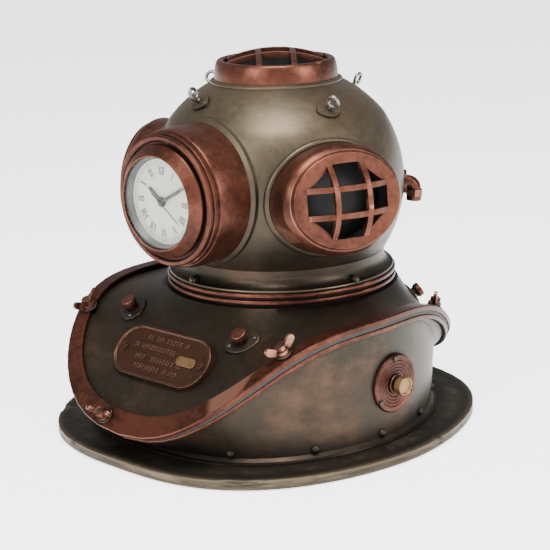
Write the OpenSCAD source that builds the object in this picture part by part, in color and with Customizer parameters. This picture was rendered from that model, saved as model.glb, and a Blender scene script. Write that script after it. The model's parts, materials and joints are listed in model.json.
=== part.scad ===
// Diver's helmet table clock: a copper and bronze helmet on a saddle-shaped corselet, with a
// push-in quartz clock insert in its front port. The front faces -Y, and Z is up from the table.

/* [Base] */
// Half width of the plinth
base_half_x = 93; // [90:0.5:96]
// Half depth of the plinth
base_half_y = 94.8; // [94:0.1:98]
// Height of the plinth's top ledge
base_top = 5.2; // [4.5:0.1:6]
// Thickness of the felt under the plinth
felt_t = 1.2; // [1:0.1:2]

/* [Corselet] */
// Height of the brail strap's outer edge at the front
strap_front_z = 16.2; // [15:0.1:18]
// Height of the brail strap's outer edge at the shoulders
strap_side_z = 62.6; // [60:0.1:63]
// Wall thickness of the castings
wall = 3; // [2.5:0.1:4]
// Thickness of the upper brail strap
brail_t = 2.4; // [2:0.1:3]

/* [Bonnet] */
// Outer radius of the bonnet's dome
dome_r = 58; // [57:0.5:59]
// Height of the dome's centre
dome_z = 111.5; // [110:0.5:113]
// Radius of the flatter crown of the dome
crown_r = 64; // [62:0.5:68]
// Height of the centre of the crown's ball
crown_z = 101.3; // [96:0.1:103]
// Outer radius of the neck rings
neck_r = 53.5; // [53:0.1:54]

/* [Ports] */
// Height of the clock's centre
clock_z = 114; // [113:0.5:115]
// Radius of the clock's bezel
bezel_r = 25; // [24.8:0.1:25.2]
// Azimuth of each side port from the front
side_az = 68.7; // [66:0.1:70]
// Distance of the side ports' faces from their origin on the neck axis
side_face = 69.9; // [69:0.1:71]

/* [Clock insert] */
// Outer radius of the insert's case
case_r = 22.4; // [22.2:0.05:22.5]
// Radius of the second hand's arbor
arbor_r = 0.35; // [0.3:0.01:0.4]
// Radial running clearance of the coaxial pipes
run = 0.07; // [0.05:0.01:0.09]

/* [Hidden] */
$fn = 64;

BRONZE = "#4a4238";
COPPER = "#a5654a";
BRASS = "#b8925c";
STEEL = "#b9bcc0";
DARK = "#2c2a28";

axis_y = 12.5;              // the neck axis stands behind the plinth's centre
steps = 72;                 // segments round the lofted rings

// ---------------------------------------------------------------- outlines and lofts

function signed_pow(v, e) = sign(v) * pow(abs(v), e);

// A rounded outline at parameter angle p: half widths a and front/back bf, bb, and two exponents
function outline(p, a, bf, bb, yc, nx = 2.85, ny = 1.8) =
    [a * signed_pow(cos(p), 2 / nx), yc + (sin(p) < 0 ? bf : bb) * signed_pow(sin(p), 2 / ny)];

function plinth_point(p, inset = 0) =
    outline(p, base_half_x - inset, base_half_y - inset, base_half_y - inset, 0, 2.8, 1.85);

strap_yc = -5.5;
function strap_edge(p) = outline(p, 78.5, 88.3, 98.5, strap_yc);
function strap_inner(p) = outline(p, 71.2, 81.9, 91.5, strap_yc);

// The saddle: a height that falls from the shoulders to the front and back
function steepness(xy) = pow(abs(xy.y - strap_yc) / norm([xy.x, xy.y - strap_yc]), 2.97);
function saddle(s) = 0.7 * s + 0.3 * s * s * (3 - 2 * s);
function edge_z(p) = strap_side_z - (strap_side_z - strap_front_z) * saddle(steepness(strap_edge(p)));
inner_front_z = strap_front_z + 8.7;
function inner_z(p) = strap_side_z - (strap_side_z - inner_front_z) * saddle(steepness(strap_inner(p)));

function edge_point(p) = [each strap_edge(p), edge_z(p)];
function inner_point(p) = [each strap_inner(p), inner_z(p)];
function unit(v) = v / norm(v);

// The strap's frame at p: across runs inwards over its face, along round it, out is its normal
function across(p) = unit(inner_point(p) - edge_point(p));
function along(p) = unit(edge_point(p + 1) - edge_point(p - 1));
function out(p) = unit(cross(along(p), across(p)));

// A point on the strap: s from its outer edge inwards, d below its face
function strap_point(p, s, d) = edge_point(p) + s * across(p) - d * out(p);
function strap_width(p) = norm(inner_point(p) - edge_point(p));

// A closed ring through one loop of points for each step, with triangles between the loops
module ring_mesh(loops) {
    n = len(loops);
    m = len(loops[0]);
    quads = [for (i = [0:n - 1], j = [0:m - 1])
        [i * m + j, i * m + (j + 1) % m, (i + 1) % n * m + (j + 1) % m, (i + 1) % n * m + j]];
    polyhedron([for (l = loops) each l], [for (q = quads) each [[q[0], q[1], q[2]], [q[0], q[2], q[3]]]]);
}

module strap_ring(section) {
    ring_mesh([for (i = [0:steps - 1]) [for (sd = section) strap_point(i * 360 / steps, sd[0], sd[1])]]);
}

// ---------------------------------------------------------------- base

module base_felt() {
    color("#2a3b2f") linear_extrude(felt_t)
        polygon([for (i = [0:95]) plinth_point(i * 3.75, 5)]);
}

module base_plinth() {
    color(BRONZE) difference() {
        translate([0, 0, 0.4]) linear_extrude(base_top - 0.4)
            polygon([for (i = [0:143]) plinth_point(i * 2.5)]);
        translate([0, 0, -1]) linear_extrude(1 + felt_t)
            polygon([for (i = [0:95]) plinth_point(i * 3.75, 4.7)]);
        translate([0, 0, felt_t - 1]) linear_extrude(base_top + 2)
            polygon([for (i = [0:71]) outline(i * 5, 68, 66, 68, -1)]);
    }
}

// ---------------------------------------------------------------- corselet

neck_bore = 49;
spigot_r = 52;
spigot_low = 64.5;
spigot_top = 70.8;
shell_gap = brail_t + 1.8;  // depth of the lower brail's top below the upper strap's face

function foot(p, d = 0) = outline(p, 79.5 - d, 76 - d, 80 - d, -3, 2.7, 1.8);
function skirt_top(p, d = 0) = outline(p, 76.6 - d, 79.5 - d, 82 - d, -4.5);
function skirt_top_z(p) = max(edge_z(p) - 6, base_top + 4);

function neck_point(p, r, z) = let (b = inner_point(p) - [0, axis_y, 0], f = unit([b.x, b.y]))
    [r * f.x, axis_y + r * f.y, z];

// The breast: a curve from the strap's inner edge to the neck, offset inwards by d
breast_rows = 7;
function breast_point(p, s, d) =
    let (a = strap_point(p, strap_width(p), brail_t + d), b = neck_point(p, 54.6 - d, spigot_low - d * 0.3),
        c = b + [0.34 * (a.x - b.x), 0.34 * (a.y - b.y), 0.40 * (a.z - b.z) - 1.2])
    (1 - s) * (1 - s) * a + 2 * s * (1 - s) * c + s * s * b;

function corselet_loop(p) = concat(
    [[each foot(p), base_top], [each foot(p), base_top + 0.9], [each foot(p, 1.2), base_top + 1.2],
        [each foot(p, 2.6), base_top + 2.6], [each skirt_top(p), skirt_top_z(p)]],
    [for (sd = [[2.5, shell_gap + 2.3], [2.5, shell_gap], [1.1, shell_gap], [1.1, brail_t]])
        strap_point(p, sd[0], sd[1])],
    [for (i = [0:breast_rows]) breast_point(p, i / breast_rows, 0)],
    [neck_point(p, spigot_r, spigot_low), neck_point(p, spigot_r, spigot_top),
        neck_point(p, neck_bore, spigot_top), neck_point(p, neck_bore, spigot_low - 2)],
    [for (i = [breast_rows - 1:-2:0]) breast_point(p, i / breast_rows, wall + 0.6)],
    [[each skirt_top(p, wall + 1), skirt_top_z(p) - 1], [each foot(p, wall + 3), base_top + 2.6],
        [each foot(p, wall + 3), base_top]]);

module corselet() {
    color(BRONZE) ring_mesh([for (i = [0:steps - 1]) corselet_loop(i * 360 / steps)]);
}

// ---------------------------------------------------------------- brails and their wing nuts

module upper_brail() {
    color(COPPER) ring_mesh([for (i = [0:steps - 1]) let (p = i * 360 / steps, e = strap_width(p) - 0.2)
        [for (sd = [[0, brail_t], [0, 0.4], [0.4, 0], [e - 0.4, 0], [e, 0.4], [e, brail_t]])
            strap_point(p, sd[0], sd[1])]]);
}

module brail_gasket() {
    color(DARK) strap_ring([[0.5, shell_gap - 0.1], [0.5, brail_t + 0.1], [1, brail_t + 0.1],
        [1, shell_gap - 0.1]]);
}

module lower_brail() {
    color(COPPER) strap_ring([[0.1, shell_gap + 2], [0.1, shell_gap + 0.1], [2.35, shell_gap + 0.1],
        [2.35, shell_gap + 2]]);
}

// Puts its children on the strap's face at p, with local Z out of the face and local X along it
module on_strap(p, s, d = 0) {
    o = strap_point(p, s, d);
    x = along(p);
    z = out(p);
    y = cross(z, x);
    multmatrix([[x.x, y.x, z.x, o.x], [x.y, y.y, z.y, o.y], [x.z, y.z, z.z, o.z]]) children();
}

// Wing nut places: parameter angle round the strap, and the turn of its wings
nut_places = [[266, 10], [323, 4], [218, -30], [38, 10], [142, -10], [90, 0]];
stud_r = 1.3;
nut_across = 5.6;            // from the strap's outer edge to the studs

module brail_studs() {
    color(BRONZE) for (n = nut_places) on_strap(n[0], nut_across) {
        cylinder(r = 3.9, h = 1);
        translate([0, 0, 1]) cylinder(r = stud_r, h = 4.6);
    }
}

module wing_outline() {
    polygon([[1, 0], [3, 0], [6.6, 2.6], [5, 5.6], [1.6, 3]]);
    translate([5.7, 4.2]) circle(r = 1.7, $fn = 24);
}

module wing_nuts() {
    color(COPPER) for (n = nut_places) on_strap(n[0], nut_across) rotate([0, 0, n[1]]) difference() {
        union() {
            translate([0, 0, 1.02]) cylinder(r = 3.1, h = 1.8);
            translate([0, 0, 2.82]) cylinder(r = 2.4, h = 2.2);
            for (a = [0, 180]) rotate([90, 0, a]) translate([0, 1.02, -0.8]) linear_extrude(1.6) wing_outline();
        }
        translate([0, 0, 0.9]) cylinder(r = stud_r + 0.03, h = 9);
    }
}

// ---------------------------------------------------------------- breast fittings

plaque_y = -66.6;
plaque_z = 45.6;
plaque_lean = 41.5;
plaque_w = 58.6;
plaque_h = 24.4;

module on_plaque() {
    translate([0, plaque_y, plaque_z]) rotate([90 - plaque_lean, 0, 0]) children();
}

module stadium(w, h) {
    square([w - h, h], center = true);
    for (s = [-1, 1]) translate([s * (w - h) / 2, 0]) circle(d = h, $fn = 48);
}

module breast_plaque() {
    color(COPPER) on_plaque() {
        translate([0, 0, -5]) linear_extrude(4.2) stadium(plaque_w, plaque_h);
        translate([0, 0, -0.8]) linear_extrude(0.8) difference() {
            stadium(plaque_w, plaque_h);
            stadium(plaque_w - 2.6, plaque_h - 2.6);
        }
    }
}

module plaque_screws() {
    color(COPPER) on_plaque() for (s = [-1, 1]) translate([s * 24.3, 0, -0.78]) difference() {
        cylinder(r = 1.9, h = 0.9, $fn = 32);
        translate([-2, -0.2, 0.5]) cube([4, 0.4, 1]);
    }
}

module plaque_tab() {
    color(BRASS) on_plaque() translate([15.6, 0, -0.78]) linear_extrude(0.7) stadium(11.6, 4.4);
}

// Breast stud places: parameter angle, and the share of the way from the strap to the neck
stud_places = [[229, 0.5], [303, 0.55], [60, 0.5], [120, 0.5]];

module on_breast(p, s) {
    o = breast_point(p, s, 0);
    t = unit(breast_point(p + 1, s, 0) - breast_point(p - 1, s, 0));
    up = unit(breast_point(p, s + 0.02, 0) - breast_point(p, s - 0.02, 0));
    z = unit(cross(t, up));
    y = cross(z, t);
    multmatrix([[t.x, y.x, z.x, o.x], [t.y, y.y, z.y, o.y], [t.z, y.z, z.z, o.z]]) children();
}

module stud_flanges() {
    color(BRONZE) for (s = stud_places) on_breast(s[0], s[1]) translate([0, 0, -1.2]) intersection() {
        translate([0, -3.4, 0]) cylinder(r = 10, h = 2.2);
        translate([0, 3.4, 0]) cylinder(r = 10, h = 2.2);
        cylinder(r = 8.2, h = 2.2);
    }
}

module breast_studs() {
    color(COPPER) for (s = stud_places) on_breast(s[0], s[1]) translate([0, 0, 1]) {
        cylinder(r = 2.7, h = 2.4, $fn = 40);
        translate([0, 0, 2.4]) cylinder(r = 3.4, h = 2.6, $fn = 40);
    }
}

module stud_screws() {
    color(STEEL) for (s = stud_places, a = [-1, 1]) on_breast(s[0], s[1])
        translate([a * 5.9, -1, 1]) cylinder(r = 0.9, h = 0.6, $fn = 24);
}

// ---------------------------------------------------------------- skirt fittings

disc_r = 13.3;
disc_z = 31;

module on_skirt(side) {
    mirror([side < 0 ? 1 : 0, 0, 0]) translate([75.9, 1.5, disc_z]) rotate([0, 0, 88]) rotate([92, 0, 0])
        children();
}

module valve_discs() {
    color(COPPER) for (s = [-1, 1]) on_skirt(s) rotate_extrude()
        polygon([[0, -3], [disc_r, -3], [disc_r, 1.9], [disc_r - 0.5, 2.4],
            each [for (i = [0:3]) each [[11 - i * 1.5, 2.4], [10.6 - i * 1.5, 2.05], [10.2 - i * 1.5, 2.4]]],
            [0, 2.4]]);
}

module valve_rivets() {
    color(BRONZE) for (s = [-1, 1], a = [95, 215, 335]) on_skirt(s)
        translate([11.9 * cos(a), 11.9 * sin(a), 2.4]) cylinder(r = 1.2, h = 0.9, $fn = 24);
}

module valve_hubs() {
    color(COPPER) for (s = [-1, 1]) on_skirt(s) translate([0, 0, 2.4]) {
        cylinder(r = 4.6, h = 1, $fn = 40);
        translate([0, 0, 1]) cylinder(r = 2.9, h = 1.4, $fn = 40);
    }
}

module valve_knobs() {
    color(BRASS) for (s = [-1, 1]) on_skirt(s) translate([0, 0, 4.8]) difference() {
        cylinder(r = 4.2, h = 3.6, $fn = 40);
        translate([0, 0, 2.8]) cylinder(r = 3.3, h = 2, $fn = 40);
    }
}

rivet_angles = [270, 297, 327, 356, 24, 52, 90, 128, 156, 184, 213, 243];

module foot_rivets() {
    color(BRONZE) for (a = rivet_angles)
        let (q = foot(a, 2.6), t = foot(a + 1, 2.6) - foot(a - 1, 2.6), turn = atan2(t.y, t.x))
            translate([q.x, q.y, base_top + 4.6]) rotate([0, 0, turn]) rotate([90, 0, 0]) {
                translate([0, 0, -1]) cylinder(r = 1.9, h = 1.6, $fn = 32);
                translate([0, 0, 0.6]) intersection() {
                    cylinder(r = 1.9, h = 1.6, $fn = 32);
                    translate([0, 0, -1.2]) sphere(r = 2.3, $fn = 32);
                }
            }
}

// ---------------------------------------------------------------- neck and dome

module neck_ring(low, high) {
    color(COPPER) translate([0, axis_y, 0]) rotate_extrude($fn = 120)
        polygon([[spigot_r + 0.05, low], [neck_r - 0.5, low], [neck_r, low + 0.5], [neck_r, high - 0.5],
            [neck_r - 0.5, high], [spigot_r + 0.05, high]]);
}

module neck_ring_lower() { neck_ring(spigot_low + 0.9, spigot_low + 3.2); }
module neck_ring_upper() { neck_ring(spigot_low + 4, spigot_low + 6.25); }

collar_low = spigot_top + 0.05;
collar_top = 80;
dome_at_collar = sqrt(dome_r * dome_r - pow(dome_z - collar_top, 2));

// The collar: a flared foot that curves in to the dome's lower edge
module bonnet_collar() {
    n = 8;
    color(BRONZE) translate([0, axis_y, 0]) rotate_extrude($fn = 120)
        polygon([[neck_bore, collar_low], [52.6, collar_low], [52.6, collar_low + 0.8],
            each [for (i = [0:n]) let (a = 90 * i / n)
                [dome_at_collar - 0.5 + 4.1 * (1 - sin(a)), collar_low + 1.2 + 4.8 * (1 - cos(a))]],
            [dome_at_collar, collar_top], [dome_at_collar - wall, collar_top],
            [dome_at_collar - wall - 0.5, collar_low + 5]]);
}

module neck_studs() {
    color(BRONZE) for (a = [-7, 83, 173, 263]) translate([0, axis_y, collar_low + 2.3]) rotate([0, 0, a])
        rotate([90, 0, 0]) translate([0, 0, 49]) {
            cylinder(r = 1.7, h = 3.4, $fn = 32);
            translate([0, 0, 3.4]) cylinder(r = 1.1, h = 1, $fn = 32);
        }
}

// Frames of the ports: local Z points out along the port's axis, local Y up
port_z = 106;
port_pitch = 6.8;
module at_clock() { translate([0, dial_y, clock_z]) rotate([90, 0, 0]) children(); }
module at_side(s) {
    mirror([s < 0 ? 1 : 0, 0, 0]) translate([0, axis_y, port_z]) rotate([0, 0, side_az])
        rotate([90 - port_pitch, 0, 0]) children();
}

function oval(p, a, b) = [a * cos(p), b * sin(p)];

// The dome's outer ball with its flatter crown, grown by d
module dome_ball(d = 0) {
    intersection() {
        translate([0, axis_y, dome_z]) sphere(r = dome_r + d, $fn = 120);
        translate([0, axis_y, crown_z]) sphere(r = crown_r + d, $fn = 120);
    }
}

top_r = 28.4;
top_floor = 158;

// A closed shell but for the front port's bore, with a flat seat sunk in the crown for the top port
module bonnet_dome() {
    color(BRONZE) difference() {
        dome_ball();
        difference() {
            dome_ball(-wall);
            translate([0, axis_y, top_floor - wall]) cylinder(r = top_r + wall, h = 30, $fn = 96);
        }
        translate([-70, -60, 40]) cube([140, 150, collar_top + 0.02 - 40]);
        translate([0, axis_y, top_floor]) cylinder(r = top_r + 0.1, h = 30, $fn = 96);
        at_clock() translate([0, 0, -50]) cylinder(r = 24, h = 60, $fn = 96);
    }
}

// ---------------------------------------------------------------- front port

dial_y = -61;
seat_z = 1.7;               // how far the port flanges stand off the dome
housing_r = 31.2;
socket_r = case_r + 0.6;

module front_port_flange() {
    color(BRONZE) difference() {
        intersection() {
            dome_ball(seat_z);
            at_clock() translate([0, 0, -40]) cylinder(r = 33, h = 60, $fn = 96);
        }
        dome_ball(0.02);
        at_clock() translate([0, 0, -60]) cylinder(r = housing_r + 0.02, h = 90, $fn = 96);
    }
}

// The housing: a bulging drum with a stepped front rim and a recess for the bezel
module front_port_housing() {
    color(COPPER) difference() {
        at_clock() rotate_extrude($fn = 96)
            polygon([[socket_r, -30], [housing_r, -30], [housing_r, -16],
                each [for (i = [0:6]) let (a = 15 * i) [30.1 + 1.1 * cos(a), -16 + 10.5 * sin(a)]],
                [29.5, -5.4], [29.6, -4.9], [29.6, -3.3], [29.2, -2.9], [28.7, -2.9], [28.9, -2.4],
                [28.9, -1], [28.3, -0.5], [27, -0.5], [26.3, -1], [26.2, -1.6], [socket_r, -1.6]]);
        dome_ball(0.02);
    }
}

// ---------------------------------------------------------------- side ports

// Where the line through (x, y) along a side port's axis leaves a ball of radius r
ball_dy = (dome_z - port_z) * cos(port_pitch);
ball_dz = (dome_z - port_z) * sin(port_pitch);
function on_ball(xy, r) = [xy.x, xy.y, ball_dz + sqrt(r * r - xy.x * xy.x - pow(xy.y - ball_dy, 2))];

module side_port_seats() {
    color(BRONZE) for (s = [-1, 1]) at_side(s) ring_mesh([for (i = [0:59]) let (p = i * 6)
        [on_ball(oval(p, 31, 26.6), dome_r + 0.1), on_ball(oval(p, 31, 26.6), dome_r + 1),
            on_ball(oval(p, 30.4, 26), dome_r + 1.5), on_ball(oval(p, 29.2, 24.8), dome_r + 1.5),
            on_ball(oval(p, 29.2, 24.8), dome_r + 0.1)]]);
}

function at_height(xy, z) = [xy.x, xy.y, z];
face_t = 2.2;

// Outer profile of a side port: pairs of growth beyond the face's oval, and depth below the face
side_profile = [[3.1, 6], [2.7, 4.6], [1.9, 3.2], [0.9, 2.3], [0.9, 1.9], [0.1, 1.7], [0, 0.5], [-0.5, 0]];

// The opening: an oval with its four corners cut straight
function port_opening(p) = let (k = 1 / max(abs(cos(p)), abs(sin(p)), 0.76 * (abs(cos(p)) + abs(sin(p)))))
    [19.2 * k * cos(p), 16.2 * k * sin(p)];

module side_port_housings() {
    color(COPPER) for (s = [-1, 1]) at_side(s) ring_mesh([for (i = [0:59]) let (p = i * 6)
        [on_ball(oval(p, 22.8, 19), dome_r + 0.15), on_ball(oval(p, 26, 22), dome_r + 0.15),
            on_ball(oval(p, 29.1, 24.7), dome_r + 0.1),
            each [for (q = side_profile) at_height(oval(p, 25.8 + q[0], 21.2 + q[0]), side_face - q[1])],
            at_height(port_opening(p), side_face - 0.2), at_height(port_opening(p), side_face - face_t),
            at_height(oval(p, 22.8, 19), side_face - face_t)]]);
}

// A bar of a domed grille: an arc over a half span, rising by rise, centred on its ends' plane
module arched_bar(half, rise, t) {
    r = (half * half + rise * rise) / (2 * rise);
    a = asin(half / r);
    translate([0, 0, rise - r]) rotate([90, 0, 0]) rotate([0, 0, 90 - a])
        rotate_extrude(angle = 2 * a, $fn = 96)
        translate([r, 0]) square([t, t], center = true);
}

bar_x = 7.7;
bar_y = 5.9;
bar_t = 2.4;

module grille(half_x, half_y, x, y, rise, t) {
    for (s = [-1, 1]) {
        translate([0, s * y, 0]) arched_bar(half_x, rise, t);
        translate([s * x, 0, 0]) rotate([0, 0, 90]) arched_bar(half_y, rise, t);
    }
}

module side_grilles() {
    color(COPPER) for (s = [-1, 1]) at_side(s) translate([0, 0, side_face - 1.2])
        grille(18.3, 15.4, bar_x, bar_y, 6.4, bar_t);
}

// ---------------------------------------------------------------- top port

module top_port_seat() {
    color(BRONZE) difference() {
        intersection() {
            dome_ball(0.9);
            translate([0, axis_y, 150]) cylinder(r = top_r + 1.9, h = 20, $fn = 96);
        }
        dome_ball(0.02);
        translate([0, axis_y, 140]) cylinder(r = top_r + 0.1, h = 40, $fn = 96);
    }
}

ring_low = top_floor + 0.02;
ring_top = 168;

module top_port_ring() {
    color(COPPER) translate([0, axis_y, 0]) rotate_extrude($fn = 96)
        polygon([[23.6, ring_low], [top_r, ring_low], [top_r, ring_low + 2.4], [28.2, ring_low + 5],
            [27.6, ring_low + 7.8], [27, ring_top - 0.6], [26.3, ring_top], [24.4, ring_top],
            [23.6, ring_top - 1]]);
}

module top_grille() {
    color(COPPER) translate([0, axis_y, ring_top - 1.6]) rotate([0, 0, 45])
        grille(21.8, 21.8, 7.8, 7.8, 4.2, 2.6);
}

// ---------------------------------------------------------------- screw eyes and goosenecks

// Puts its children on the dome, with local Z straight out of it
module on_dome(az, elev, d = 0) {
    translate([0, axis_y, dome_z]) rotate([0, 0, az]) rotate([90 - elev, 0, 0]) translate([0, 0, dome_r + d])
        children();
}

// Puts its children on the dome's crown, at an angle up from the centre of the crown's ball
module on_crown(az, elev, d = 0) {
    translate([0, axis_y, crown_z]) rotate([0, 0, az]) rotate([90 - elev, 0, 0]) translate([0, 0, crown_r + d])
        children();
}

eye_places = [[-14.5, 51.5], [75.5, 48.2], [167, 48.5], [-92, 51]];

module eye_plates() {
    color(BRONZE) for (e = eye_places) on_crown(e[0], e[1], 0.04) {
        intersection() {
            translate([0, -2.2, -0.4]) cylinder(r = 6.4, h = 1.5, $fn = 40);
            translate([0, 2.2, -0.4]) cylinder(r = 6.4, h = 1.5, $fn = 40);
        }
        for (s = [-1, 1]) translate([s * 4, 0, 1.1]) cylinder(r = 0.7, h = 0.4, $fn = 20);
    }
}

module screw_eyes() {
    color(STEEL) for (e = eye_places) on_crown(e[0], e[1], 1.14) {
        cylinder(r = 1.1, h = 1.8, $fn = 32);
        translate([0, 0, 4.6]) rotate([0, 90, 30]) rotate_extrude($fn = 40) translate([2.5, 0])
            circle(r = 0.8, $fn = 20);
    }
}

elbow_r = 3.1;
elbow_bend = 3.3;

module goosenecks() {
    color(COPPER) for (a = [-135, 135]) on_dome(a, -3, -0.6) {
        cylinder(r = 5.6, h = 1.7, $fn = 48);
        translate([0, 0, 1.7]) cylinder(r = elbow_r, h = 0.8, $fn = 48);
        translate([0, -elbow_bend, 2.5]) rotate([90, 0, 90]) rotate_extrude(angle = 90, $fn = 64)
            translate([elbow_bend, 0]) circle(r = elbow_r, $fn = 48);
    }
}

module gooseneck_nuts() {
    color(COPPER) for (a = [-135, 135]) on_dome(a, -3, 1.9) translate([0, -elbow_bend, elbow_bend])
        rotate([90, 0, 0]) {
            cylinder(r = 4.1, h = 3.2, $fn = 6);
            translate([0, 0, 3.2]) cylinder(r = 3.5, h = 2.2, $fn = 48);
        }
}

// ---------------------------------------------------------------- clock insert: case and face

case_back = -15.5;
battery_at = [12.6, 4];
knob_at = [4.8, -8.31];
hatch_r = 6.3;
stem_r = 0.5;
pivot_r = 0.3;

module clock_case() {
    color("#8d8a84") at_clock() difference() {
        translate([0, 0, case_back]) cylinder(r = case_r, h = 0.3 - case_back, $fn = 96);
        translate([0, 0, case_back + 0.8]) cylinder(r = case_r - 0.8, h = 20, $fn = 96);
        translate([each battery_at, case_back - 1]) cylinder(r = hatch_r, h = 3);
        translate([each knob_at, case_back - 1]) cylinder(r = stem_r + run, h = 3, $fn = 32);
    }
}

module grip_band() {
    color(DARK) at_clock() translate([0, 0, -10]) difference() {
        cylinder(r = socket_r - 0.05, h = 5, $fn = 96);
        translate([0, 0, -1]) cylinder(r = case_r, h = 7, $fn = 96);
    }
}

module clock_bezel() {
    color(COPPER) at_clock() rotate_extrude($fn = 120)
        polygon([[case_r + 0.05, -1.3], [bezel_r - 0.4, -1.3], [bezel_r, -0.9], [bezel_r, 0.4],
            [bezel_r - 0.3, 0.8], [21.2, 4.4], [20.9, 4.5], [20.4, 4.4], [20.3, 3.95], [21.45, 3.95],
            [21.45, 0.35], [case_r + 0.05, 0.35]]);
}

module clock_lens() {
    color("#dfe8ea", 0.3) at_clock() translate([0, 0, 2.95]) cylinder(r = 21.4, h = 0.98, $fn = 96);
}

module rehaut_ring() {
    color("#6c6f72") at_clock() rotate_extrude($fn = 96)
        polygon([[18.8, 0.02], [21.4, 0.02], [21.4, 2.93], [20.1, 2.93]]);
}

module dial() {
    color("#e9e7da") at_clock() translate([0, 0, -0.5]) difference() {
        cylinder(r = 21.5, h = 0.5, $fn = 96);
        translate([0, 0, -1]) cylinder(r = 1.6, h = 3, $fn = 32);
    }
}

// ---------------------------------------------------------------- hands

minute_bore = arbor_r + run;
minute_pipe = 0.8;
hour_bore = minute_pipe + run;
hour_pipe = 1.3;
// Clock time at rest: 10:10:21
second_turn = -21 * 6;
minute_turn = -(10 + 21 / 60) * 6;
hour_turn = -(10 + (10 + 21 / 60) / 60) * 30;

module hand(length, tail, w, hub, bore, low, t, turn) {
    at_clock() rotate([0, 0, turn]) translate([0, 0, low]) difference() {
        linear_extrude(t) {
            circle(r = hub, $fn = 40);
            polygon([[-w, -tail], [w, -tail], [w, length * 0.86], [0, length], [-w, length * 0.86]]);
        }
        translate([0, 0, -1]) cylinder(r = bore, h = 3, $fn = 32);
    }
}

module hour_hand() { color(DARK) hand(10.2, 0, 0.75, 2.3, hour_pipe, 0.5, 0.3, hour_turn); }
module minute_hand() { color(DARK) hand(15, 0, 0.7, 1.9, minute_pipe, 1.2, 0.3, minute_turn); }
module second_hand() { color(DARK) hand(14.6, 6, 0.22, 1, arbor_r, 1.85, 0.25, second_turn); }

// ---------------------------------------------------------------- movement

third_at = [0, 5.76];
inter_at = [-5.26, -1.92];
rotor_at = [-7.9, -6.49];
motion_at = [2.4, -4.157];
plate_r = 19.5;
post_at = [[15.6, -8.5], [-6, 17], [0, -17.4]];

// A toothed wheel whose tips stop just short of its pitch circle
module gear(teeth, module_mm, t) {
    tip = teeth * module_mm / 2 - 0.05;
    linear_extrude(t) polygon([for (i = [0:teeth - 1], k = [0:3])
        let (a = (i + [0, 0.3, 0.5, 0.8][k]) * 360 / teeth, r = k < 2 ? tip : tip - module_mm * 0.9)
            [r * cos(a), r * sin(a)]]);
}

module shaft(r, low, high) { translate([0, 0, low]) cylinder(r = r, h = high - low, $fn = 32); }

module front_plate() {
    color(BRASS) at_clock() difference() {
        translate([0, 0, -3.6]) cylinder(r = plate_r, h = 1, $fn = 96);
        shaft(minute_pipe + run, -4, -2);
        for (c = [third_at, inter_at, rotor_at, motion_at]) translate([each c, 0]) shaft(pivot_r + run, -4, -2);
        translate([each knob_at, 0]) shaft(stem_r + run, -4, -2);
    }
}

module rear_plate() {
    color(BRASS) at_clock() difference() {
        translate([0, 0, -12.8]) cylinder(r = plate_r, h = 1, $fn = 96);
        for (c = [third_at, inter_at, rotor_at]) translate([each c, 0]) shaft(pivot_r + run, -14, -11);
        shaft(minute_bore, -14, -11);
        translate([each knob_at, 0]) shaft(stem_r + run, -14, -11);
        translate([each battery_at, -14]) cylinder(r = 6.1, h = 3);
    }
}

module pillars() {
    color(BRASS) at_clock() for (q = post_at) translate([each q, 0]) shaft(1.2, -11.78, -3.62);
}

module seconds_wheel() {
    color(BRASS) at_clock() {
        shaft(arbor_r, -12.6, 2.2);
        translate([0, 0, -8.4]) gear(60, 0.16, 0.5);
        translate([0, 0, -6.6]) gear(8, 0.16, 0.5);
    }
}

module third_wheel() {
    color(BRASS) at_clock() translate([each third_at, 0]) {
        shaft(pivot_r, -12.6, -2.8);
        translate([0, 0, -6.6]) gear(64, 0.16, 0.5);
        translate([0, 0, -4.5]) gear(8, 0.1694, 0.5);
    }
}

module centre_wheel() {
    color(BRASS) at_clock() difference() {
        union() {
            shaft(minute_pipe, -4.5, 1.55);
            translate([0, 0, -4.5]) gear(60, 0.1694, 0.5);
            translate([0, 0, -2.3]) gear(12, 0.2, 0.7);
        }
        shaft(minute_bore, -5, 3);
    }
}

module motion_wheel() {
    color(BRASS) at_clock() translate([each motion_at, 0]) {
        shaft(pivot_r, -3.4, -0.8);
        translate([0, 0, -2.3]) gear(36, 0.2, 0.7);
        translate([0, 0, -1.35]) gear(10, 0.192, 0.55);
    }
}

module hour_wheel() {
    color(BRASS) at_clock() difference() {
        union() {
            shaft(hour_pipe, -1.35, 0.85);
            translate([0, 0, -1.35]) gear(40, 0.192, 0.55);
        }
        shaft(hour_bore, -2, 3);
    }
}

module intermediate_wheel() {
    color("#d8d8d2") at_clock() translate([each inter_at, 0]) {
        shaft(pivot_r, -12.6, -2.8);
        translate([0, 0, -10]) gear(40, 0.22, 0.5);
        translate([0, 0, -8.4]) gear(10, 0.16, 0.5);
    }
}

module rotor() {
    color(STEEL) at_clock() translate([each rotor_at, 0]) {
        shaft(pivot_r, -12.6, -2.8);
        translate([0, 0, -10]) gear(8, 0.22, 0.5);
        shaft(2.4, -11.4, -10.4);
    }
}

module setting_knob() {
    color(DARK) at_clock() translate([each knob_at, 0]) {
        shaft(stem_r, -16.2, -1.7);
        translate([0, 0, -2.3]) gear(12, 0.2, 0.6);
        translate([0, 0, -18.2]) linear_extrude(2) for (a = [0:30:330])
            rotate(a) polygon([[0, 0], [3, -0.5], [3, 0.5]]);
        translate([0, 0, -18.2]) cylinder(r = 2.8, h = 2.2);
    }
}

coil_x = -14;

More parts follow.
